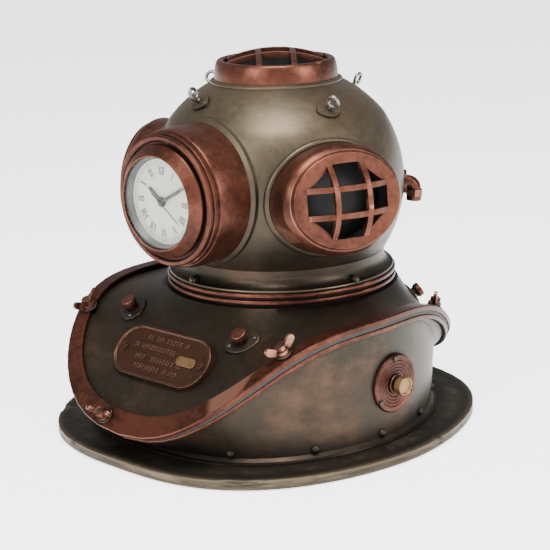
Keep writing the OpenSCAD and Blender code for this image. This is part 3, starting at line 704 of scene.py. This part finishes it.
@dataclass
class Base:
    """The plinth and the felt under it."""

    shop: Workshop
    seed: int = 7
    across: float = 2.8
    along: float = 1.85
    lip: float = 0.0257
    chip_size: float = 0.0028
    chip_share: float = 0.42
    chip_low: float = 0.002
    chip_inner: float = 0.083
    ripple: float = 0.00012
    felt_middle: float = 0.075

    def outline(self, turn: float, half_x: float, half_y: float) -> Vector:
        """Returns the plinth's outline at a turn in radians, for given half sizes."""
        c, s = math.cos(turn), math.sin(turn)
        x = half_x * math.copysign(abs(c) ** (2 / self.across), c)
        y = half_y * math.copysign(abs(s) ** (2 / self.along), s)
        return Vector((x, y, 0.0))

    def ring(self, profile: Sequence[Span], half: Vector, steps: int = 360) -> bmesh.types.BMesh:
        """Sweeps a closed profile round the outline.

        Args:
            profile: Points as (inset from the outline, height).
            half: The outline's half sizes.
            steps: The number of steps round it.

        Returns:
            The mesh.
        """
        bm = bmesh.new()
        points = [bm.verts.new((1.0 - inset, 0.0, height)) for inset, height in profile]
        edges = [bm.edges.new((a, b)) for a, b in zip(points, points[1:] + points[:1])]
        bmesh.ops.spin(bm, geom=points + edges, cent=(0, 0, 0), axis=(0, 0, 1), dvec=(0, 0, 0),
                       angle=math.tau, steps=steps, use_merge=True, use_duplicate=False)
        bmesh.ops.remove_doubles(bm, verts=bm.verts, dist=1e-7)
        for v in bm.verts:
            inset = 1.0 - math.hypot(v.co.x, v.co.y)
            at = self.outline(math.atan2(v.co.y, v.co.x), half.x - inset, half.y - inset)
            v.co.x, v.co.y = at.x, at.y
        bmesh.ops.recalc_face_normals(bm, faces=bm.faces)
        return bm

    def plinth(self) -> None:
        """Builds the plinth with its worn, slightly chipped rim."""
        low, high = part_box("base_plinth")
        half = (high - low) / 2
        top, foot = high.z, low.z
        profile = [(0.0007, foot), (0.0, foot + 0.0007), (0.0001, foot + 0.0022), (0.0, top - 0.0006),
                   (0.0006, top - 0.0001), (0.0032, top), (0.0080, top - 0.0002), (0.0160, top - 0.0001),
                   (self.lip, top - 0.0001), (self.lip, foot + 0.0005), (0.0060, foot + 0.0005),
                   (0.0049, foot)]
        bm = self.ring(profile, half)
        for v in bm.verts:
            chip = noise.noise(v.co * 95.0 + Vector((self.seed, 0, 0)))
            outer = v.co.z > foot + self.chip_low and v.co.xy.length > self.chip_inner
            wave = self.ripple * abs(noise.noise(v.co * 240.0))
            dent = max(0.0, chip - self.chip_share) * self.chip_size if outer else 0.0
            inward = dent + wave
            v.co.x -= v.co.x / v.co.xy.length * inward
            v.co.y -= v.co.y / v.co.xy.length * inward
            v.co.z -= dent * 0.35
        piece = self.shop.add(bm, "plinth_cast", Slot.DARK_BRONZE, "helmet", 50.0)
        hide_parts("base_plinth")

    def felt(self) -> None:
        """Builds the felt pad: a soft slab with a fluffy, uneven edge."""
        low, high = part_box("base_felt")
        half = (high - low) / 2
        profile = [(0.0007, low.z + 0.00002), (0.0002, low.z + 0.0003), (0.0, high.z * 0.5),
                   (0.0003, high.z - 0.00025), (0.0009, high.z)]
        bm = self.ring(profile + [(0.03, high.z), (0.03, low.z)], half)
        inner = [e for e in bm.edges if all(v.co.xy.length < self.felt_middle for v in e.verts)]
        self.cap(bm, inner)
        for v in bm.verts:
            fluff = noise.noise(v.co * 900.0)
            if v.co.z > low.z + 0.0001 and v.co.z < high.z - 0.0001:
                v.co.xy *= 1.0 - abs(fluff) * 0.004
        piece = self.shop.add(bm, "felt_pad", Slot.FELT, "helmet", 60.0)
        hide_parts("base_felt")

    @staticmethod
    def cap(bm: bmesh.types.BMesh, edges: list[bmesh.types.BMEdge]) -> None:
        """Closes the ring's middle, its inner wall taken away, with a top and a bottom sheet.

        Args:
            bm: The ring.
            edges: The edges of the inner wall.
        """
        chosen = set(edges)
        wall = [f for f in bm.faces if all(e in chosen for e in f.edges)]
        bmesh.ops.delete(bm, geom=wall, context="FACES_ONLY")
        rims = [e for e in bm.edges if e.is_boundary]
        bmesh.ops.holes_fill(bm, edges=rims, sides=0)
        bmesh.ops.recalc_face_normals(bm, faces=bm.faces)

    def build(self) -> None:
        """Builds the base."""
        self.plinth()
        self.felt()


@dataclass
class Corselet:
    """The breastplate, its straps, studs, plaque and fittings."""

    shop: Workshop
    plaque_lean: float = 41.5
    line_rows: tuple[Span, ...] = ((7.2, 26.0), (2.6, 37.0), (-2.6, 30.0), (-7.0, 27.0))
    tab_left: float = 8.6
    seed: int = 11
    rounded: dict[str, float] = field(default_factory=lambda: {
        "corselet": 0.5, "upper_brail": 0.55, "lower_brail": 0.4, "brail_studs": 0.25, "wing_nuts": 0.35,
        "breast_plaque": 0.45, "plaque_screws": 0.18, "plaque_tab": 0.2, "stud_flanges": 0.4,
        "breast_studs": 0.55, "stud_screws": 0.2, "valve_discs": 0.2, "valve_rivets": 0.35,
        "valve_hubs": 0.4, "valve_knobs": 0.5, "foot_rivets": 0.25,
    })

    def plaque_lines(self) -> None:
        """Builds rows of worn relief bars on the plaque's face."""
        low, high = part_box("plaque_screws")
        centre = (low + high) / 2
        tilt = Matrix.Rotation(math.radians(90.0 - self.plaque_lean), 4, "X")
        place = Matrix.Translation(centre) @ tilt @ Matrix.Translation((0, 0, -0.00045))
        rng = random.Random(self.seed)
        bm = bmesh.new()
        for height, width in self.line_rows:
            left = -width / 2
            while left < width / 2 - 1.0:
                length = min(rng.uniform(0.9, 1.9), width / 2 - left)
                tall = 2.3 + rng.uniform(-0.25, 0.15)
                on_tab = height == self.line_rows[1][0] and left + length > self.tab_left
                if rng.random() > 0.13 and not on_tab:
                    at = Matrix.Translation(((left + length / 2) * MM, height * MM, 0.0))
                    size = Vector((length * MM, tall * MM, 0.0008))
                    bar(bm, size, place @ at, 0.0002)
                left += length + rng.uniform(0.35, 0.55)
        self.shop.add(bm, "plaque_relief", Slot.COPPER, "helmet", 60.0)

    def build(self) -> None:
        """Builds the corselet."""
        for node, edge in self.rounded.items():
            self.shop.soften(node, edge * MM)
        self.shop.dress("brail_gasket")
        self.plaque_lines()


@dataclass
class Bonnet:
    """The dome with its collar, ports, eyes and goosenecks."""

    shop: Workshop
    rounded: dict[str, float] = field(default_factory=lambda: {
        "neck_ring_lower": 0.45, "neck_ring_upper": 0.45, "bonnet_collar": 0.4, "neck_studs": 0.3,
        "front_port_flange": 0.4, "front_port_housing": 0.3, "side_port_seats": 0.3,
        "side_port_housings": 0.3, "side_grilles": 0.6, "top_port_seat": 0.2, "top_port_ring": 0.5,
        "top_grille": 0.6, "eye_plates": 0.3, "screw_eyes": 0.05, "goosenecks": 0.3,
        "gooseneck_nuts": 0.4,
    })

    def build(self) -> None:
        """Builds the bonnet."""
        self.shop.soften("bonnet_dome", 0.0002, 1)
        for node, edge in self.rounded.items():
            self.shop.soften(node, edge * MM)


class Stroke(Enum):
    """The strokes of a Roman numeral, as their lean across their height."""

    UPRIGHT = 0.0
    FALLING = -1.0
    RISING = 1.0


@dataclass
class ClockInsert:
    """The push-in clock: case, face, hands and movement."""

    shop: Workshop
    numeral_radius: float = 0.0137
    numeral_height: float = 0.0036
    track_radius: float = 0.0171
    ink: float = 0.00003
    cap_radius: float = 0.00095
    cap_rise: float = 0.00035
    upright: float = 0.00052
    thick: float = 0.00058
    thin: float = 0.00030
    serif: Span = (0.00095, 0.00016)
    numerals: tuple[str, ...] = ("XII", "I", "II", "III", "IIII", "V", "VI", "VII", "VIII", "IX", "X", "XI")
    rounded: dict[str, float] = field(default_factory=lambda: {
        "clock_bezel": 0.25, "clock_case": 0.3, "grip_band": 0.3, "setting_knob": 0.2,
        "battery_cover": 0.2, "battery": 0.3, "rehaut_ring": 0.05,
    })
    plain: tuple[str, ...] = ("clock_lens", "dial", "hour_hand", "minute_hand", "second_hand", "front_plate",
                              "rear_plate", "pillars", "rotor", "intermediate_wheel", "seconds_wheel",
                              "third_wheel", "centre_wheel", "motion_wheel", "hour_wheel",
                              "coil_and_stator", "circuit_board")

    def face(self) -> Matrix:
        """Returns the dial's frame: x right, y up and z out of its face."""
        low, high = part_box("dial")
        at = Vector(((low.x + high.x) / 2, low.y, (low.z + high.z) / 2))
        return Matrix.Translation(at) @ Matrix.Rotation(math.radians(90.0), 4, "X")

    def stroke(self, bm: bmesh.types.BMesh, at: Matrix, width: float, lean: float) -> None:
        """Adds one printed stroke, its ends serifed.

        Args:
            bm: The mesh it is added to.
            at: The stroke's middle on the dial.
            width: Its thickness in metres.
            lean: How far its top stands right of its foot, in metres.
        """
        h = self.numeral_height
        shear = Matrix.Identity(4)
        shear[0][1] = lean / h
        bar(bm, Vector((width, h, self.ink)), at @ shear)
        for end in (-1, 1):
            foot = Matrix.Translation((end * lean / 2, end * (h / 2 - 0.00012), 0.0))
            bar(bm, Vector((*self.serif, self.ink)), at @ foot)

    def numeral(self, bm: bmesh.types.BMesh, letters: str, at: Matrix) -> None:
        """Adds a Roman numeral.

        Args:
            bm: The mesh it is added to.
            letters: Its letters.
            at: Its middle on the dial.
        """
        widths = {"I": 0.00088, "V": 0.0020, "X": 0.0020}
        left = -sum(widths[c] for c in letters) / 2
        for letter in letters:
            middle = at @ Matrix.Translation((left + widths[letter] / 2, 0.0, 0.0))
            if letter == "I":
                self.stroke(bm, middle, self.upright, Stroke.UPRIGHT.value)
            else:
                self._leaning(bm, middle, letter)
            left += widths[letter]

    def _leaning(self, bm: bmesh.types.BMesh, middle: Matrix, letter: str) -> None:
        """Adds the two slanted strokes of a V or an X, the first thick and the second thin."""
        apart = 0.00042 if letter == "V" else 0.0
        slant = 0.00085 if letter == "V" else 0.00120
        left = middle @ Matrix.Translation((-apart, 0.0, 0.0))
        right = middle @ Matrix.Translation((apart, 0.0, 0.0))
        self.stroke(bm, left, self.thick, Stroke.FALLING.value * slant)
        self.stroke(bm, right, self.thin, Stroke.RISING.value * slant)

    def printing(self) -> None:
        """Builds the dial's numerals and minute track."""
        face = self.face() @ Matrix.Translation((0.0, 0.0, self.ink * 0.6))
        bm = bmesh.new()
        for hour, letters in enumerate(self.numerals):
            turn = Matrix.Rotation(-math.radians(30.0 * hour), 4, "Z")
            at = face @ turn @ Matrix.Translation((0.0, self.numeral_radius, 0.0))
            self.numeral(bm, letters, at)
        for minute in range(60):
            turn = Matrix.Rotation(-math.radians(6.0 * minute), 4, "Z")
            main = minute % 5 == 0
            size = Vector((0.00034 if main else 0.00014, 0.0011 if main else 0.0009, self.ink))
            bar(bm, size, face @ turn @ Matrix.Translation((0.0, self.track_radius, 0.0)))
        self.track(bm, face, self.track_radius + 0.0006)
        self.track(bm, face, self.track_radius - 0.0006)
        self.shop.add(bm, "dial_printing", Slot.HAND_PAINT, "insert", 20.0)

    def track(self, bm: bmesh.types.BMesh, face: Matrix, radius: float) -> None:
        """Adds one thin printed circle.

        Args:
            bm: The mesh it is added to.
            face: The dial's frame.
            radius: The circle's radius.
        """
        half = 0.00005
        deep = self.ink / 2
        corners = [(-half, -deep), (half, -deep), (half, deep), (-half, deep)]
        points = [bm.verts.new((radius + x, 0.0, z)) for x, z in corners]
        edges = [bm.edges.new((a, b)) for a, b in zip(points, points[1:] + points[:1])]
        before = set(bm.verts) - set(points)
        bmesh.ops.spin(bm, geom=points + edges, cent=(0, 0, 0), axis=(0, 0, 1), dvec=(0, 0, 0),
                       angle=math.tau, steps=180, use_merge=True, use_duplicate=False)
        ring = [v for v in bm.verts if v not in before]
        faces = {f for v in ring for f in v.link_faces}
        bmesh.ops.recalc_face_normals(bm, faces=list(faces))
        move(bm, face, ring)

    def hand_cap(self) -> None:
        """Builds the small turned cap over the hands' centre."""
        low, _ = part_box("second_hand")
        centre = self.face().translation
        bm = bmesh.new()
        made = bmesh.ops.create_uvsphere(bm, u_segments=32, v_segments=16, radius=1.0)["verts"]
        flat = Matrix.Diagonal((self.cap_radius, self.cap_rise, self.cap_radius, 1.0))
        move(bm, Matrix.Translation((centre.x, low.y - 0.00002, centre.z)) @ flat, made)
        self.shop.add(bm, "hand_cap", Slot.HAND_PAINT, "seconds", 60.0)

    def build(self) -> None:
        """Builds the insert."""
        for node, edge in self.rounded.items():
            self.shop.soften(node, edge * MM)
        for node in self.plain:
            self.shop.dress(node)
        self.printing()
        self.hand_cap()


# ---------------------------------------------------------------- studio


@dataclass(frozen=True)
class Lamp:
    """A soft square lamp: degrees round to the clock's right, degrees up, its side, and its watts."""

    name: str
    azimuth: float
    elevation: float
    size: float
    power: float


@dataclass
class Studio:
    """A pale table, soft lamps and the camera."""

    azimuth: float = 43.85
    elevation: float = 14.97
    distance: float = 0.8112
    roll: float = -1.71
    lens: float = 111.6
    aim: Vector = field(default_factory=lambda: Vector((-0.00733, 0.01559, 0.0635)))
    lamps: tuple[Lamp, ...] = (
        Lamp("overhead", 44.0, 72.0, 0.6, 26.0),
        Lamp("front", 2.0, 28.0, 0.45, 11.0),
        Lamp("right", 100.0, 26.0, 0.45, 11.0),
    )
    lamp_distance: float = 1.25
    lamp_aim: tuple[float, float, float] = (0.0, 0.0, 0.09)
    sky_strength: float = 0.42
    table_radius: float = 6.0
    table_glow: float = 2.2

    def camera(self) -> None:
        """Sets the camera at the front right, a little above the clock."""
        a, e = math.radians(self.azimuth), math.radians(self.elevation)
        back = Vector((math.sin(a) * math.cos(e), -math.cos(a) * math.cos(e), math.sin(e)))
        right = (-back).cross(Vector((0, 0, 1))).normalized()
        up = back.cross(right)
        r = math.radians(self.roll)
        x = right * math.cos(r) + up * math.sin(r)
        y = up * math.cos(r) - right * math.sin(r)
        data = bpy.data.cameras.new("view")
        data.lens = self.lens
        data.sensor_width = 36.0
        data.clip_start, data.clip_end = 0.01, 50.0
        made = bpy.data.objects.new("view", data)
        turn = Matrix((x, y, back)).transposed().to_4x4()
        made.matrix_world = Matrix.Translation(self.aim + back * self.distance) @ turn
        bpy.context.scene.collection.objects.link(made)
        bpy.context.scene.camera = made

    def shine(self, lamp: Lamp) -> None:
        """Adds a lamp aimed at the helmet.

        Args:
            lamp: The lamp.
        """
        a, e = math.radians(lamp.azimuth), math.radians(lamp.elevation)
        out = Vector((math.sin(a) * math.cos(e), -math.cos(a) * math.cos(e), math.sin(e)))
        at = out * self.lamp_distance
        data = bpy.data.lights.new(lamp.name, "AREA")
        data.size = lamp.size
        data.energy = lamp.power
        made = bpy.data.objects.new(lamp.name, data)
        turn = (Vector(self.lamp_aim) - at).to_track_quat("-Z", "Y").to_matrix().to_4x4()
        made.matrix_world = Matrix.Translation(at) @ turn
        bpy.context.scene.collection.objects.link(made)

    def table(self) -> None:
        """Lays the pale table top."""
        g = Graph("table_white")
        grain = g.noise(55.0, 4.0)
        colour = g.mix(grain.between(0.3, 0.7), (0.93, 0.93, 0.93), (0.95, 0.95, 0.95))
        material = g.finish(Base_Color=colour, Roughness=0.85, Normal=g.bump(grain, 0.02, 0.0005),
                            Emission_Color=(1.0, 1.0, 1.0), Emission_Strength=self.table_glow)
        bm = bmesh.new()
        bmesh.ops.create_circle(bm, cap_ends=True, segments=96, radius=self.table_radius)
        mesh = bpy.data.meshes.new("table_top")
        bm.to_mesh(mesh)
        bm.free()
        mesh.materials.append(material)
        top = bpy.data.objects.new("table_top", mesh)
        bpy.context.scene.collection.objects.link(top)

    @staticmethod
    def sky(strength: float) -> None:
        """Lights the room with even white."""
        world = bpy.data.worlds.new("room")
        world.use_nodes = True
        shade = world.node_tree.nodes["Background"]
        shade.inputs["Color"].default_value = (1.0, 1.0, 1.0, 1.0)
        shade.inputs["Strength"].default_value = strength
        bpy.context.scene.world = world

    def build(self) -> None:
        """Builds the studio."""
        self.camera()
        self.sky(self.sky_strength)
        for lamp in self.lamps:
            self.shine(lamp)
        self.table()


def main() -> None:
    """Builds the clock and its studio."""
    logging.basicConfig(level=logging.INFO, format="%(name)s %(message)s")
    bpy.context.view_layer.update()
    shop = Workshop(finishes())
    builders: list[Callable[[], None]] = [
        Base(shop).build, Corselet(shop).build, Bonnet(shop).build, ClockInsert(shop).build, Studio().build,
    ]
    for build in builders:
        build()
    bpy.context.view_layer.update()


if __name__ == "__main__":
    main()
